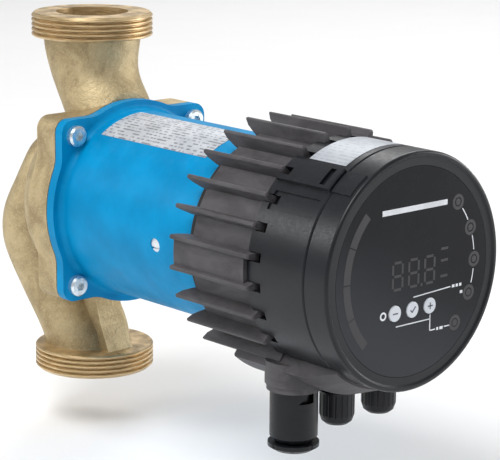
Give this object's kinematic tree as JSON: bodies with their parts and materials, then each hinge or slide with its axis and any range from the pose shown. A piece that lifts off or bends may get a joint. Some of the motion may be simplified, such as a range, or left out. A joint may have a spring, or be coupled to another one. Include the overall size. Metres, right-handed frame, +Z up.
{
  "type": "circulator pump",
  "caption": "Wet-rotor heating circulator: threaded in-line bronze pump housing, painted canned motor, finned electronic head with round control panel and cable connectors.",
  "frame": {"origin": "centre of the inlet port's sealing face, at the lower end of the pipe axis", "axes": "+Z up along the pipe axis from inlet to outlet; the motor axis is along Y at mid height and the control panel faces -Y"},
  "size_m": [0.1124, 0.2707, 0.18],
  "materials": {
    "cast_bronze": "sand-cast, matt, machined on the ports",
    "stainless": "deep-drawn stainless",
    "black_rubber": "EPDM",
    "impeller_plastic": "moulded glass-filled plastic",
    "ceramic": "ground ceramic",
    "carbon": "resin-bonded carbon",
    "lamination": "stacked electrical steel",
    "magnet": "sintered ferrite",
    "copper_wire": "enamelled copper wire",
    "bobbin_plastic": "moulded nylon",
    "blue_paint": "semi-gloss paint on cast aluminium",
    "white_plastic": "moulded plastic",
    "zinc_steel": "zinc plated",
    "label_film": "printed polyester film",
    "dark_casting": "matt dark coating on cast aluminium",
    "thermal_film": "silicone pad",
    "chip_plastic": "moulded epoxy",
    "circuit_board": "solder mask on glass epoxy",
    "capacitor_sleeve": "shrink sleeve",
    "choke_core": "coated ferrite with enamelled winding",
    "terminal_plastic": "moulded nylon",
    "switch_metal": "stamped steel",
    "light_guide": "diffusing acrylic",
    "black_plastic": "fine-textured satin black moulding",
    "gloss_panel": "glossy black window",
    "button_white": "moulded white key caps",
    "connector_plastic": "moulded nylon",
    "brass_pins": "plated contact pins"
  },
  "bodies": {
    "casing": {"bearing_plate": "stainless", "board_link": "bobbin_plastic", "board_spacers": "bobbin_plastic", "bus_capacitors": "capacitor_sleeve", "button_switches": "switch_metal", "can_seal": "black_rubber", "control_cover": "black_plastic", "cover_label": "label_film", "cover_ring": "black_plastic", "cover_seal": "black_rubber", "display_board": "circuit_board", "display_module": "chip_plastic", "drain_insert": "white_plastic", "filter_choke": "choke_core", "flange_screws": "zinc_steel", "front_bearing": "carbon", "front_panel": "gloss_panel", "gland_bodies": "connector_plastic", "gland_caps": "connector_plastic", "gland_seals": "black_rubber", "head_seal": "black_rubber", "heat_sink": "dark_casting", "heat_sink_screws": "zinc_steel", "housing_o_ring": "black_rubber", "level_light_guide": "light_guide", "mode_light_guides": "light_guide", "motor_housing": "blue_paint", "power_board": "circuit_board", "power_module": "chip_plastic", "power_socket": "connector_plastic", "pump_housing": "cast_bronze", "rating_label": "label_film", "rear_bearing": "carbon", "relay": "chip_plastic", "rotor_can": "stainless", "socket_pins": "brass_pins", "stator_core": "lamination", "stator_windings": "copper_wire", "terminal_block": "terminal_plastic", "thermal_pad": "thermal_film", "wear_ring": "stainless", "winding_bobbins": "bobbin_plastic"},
    "rotor": {"impeller": "impeller_plastic", "rotor_shaft": "ceramic", "impeller_clip": "stainless", "thrust_ring": "carbon", "rotor_core": "lamination", "rotor_magnets": "magnet", "rotor_sleeve": "stainless"},
    "plug": {"power_plug": "connector_plastic", "plug_seal": "black_rubber", "plug_nut": "connector_plastic"},
    "button_minus": {"button_minus": "button_white"},
    "button_select": {"button_select": "button_white"},
    "button_plus": {"button_plus": "button_white"}
  },
  "joints": [
    {"name": "rotor_spin", "type": "hinge", "parent": "casing", "child": "rotor", "pos_m": [0, 0, 0.09], "axis": [0, -1, 0], "continuous": true},
    {"name": "button_minus_press", "type": "slide", "parent": "casing", "child": "button_minus", "axis": [0, 1, 0], "range_m": [0, 0.0004], "stiffness_N_per_m": 2000, "springref_m": -0.0002},
    {"name": "button_select_press", "type": "slide", "parent": "casing", "child": "button_select", "axis": [0, 1, 0], "range_m": [0, 0.0004], "stiffness_N_per_m": 2000, "springref_m": -0.0002},
    {"name": "button_plus_press", "type": "slide", "parent": "casing", "child": "button_plus", "axis": [0, 1, 0], "range_m": [0, 0.0004], "stiffness_N_per_m": 2000, "springref_m": -0.0002},
    {"name": "plug_unplug", "type": "slide", "parent": "casing", "child": "plug", "axis": [0, 0, -1], "range_m": [0, 0.03]}
  ]
}
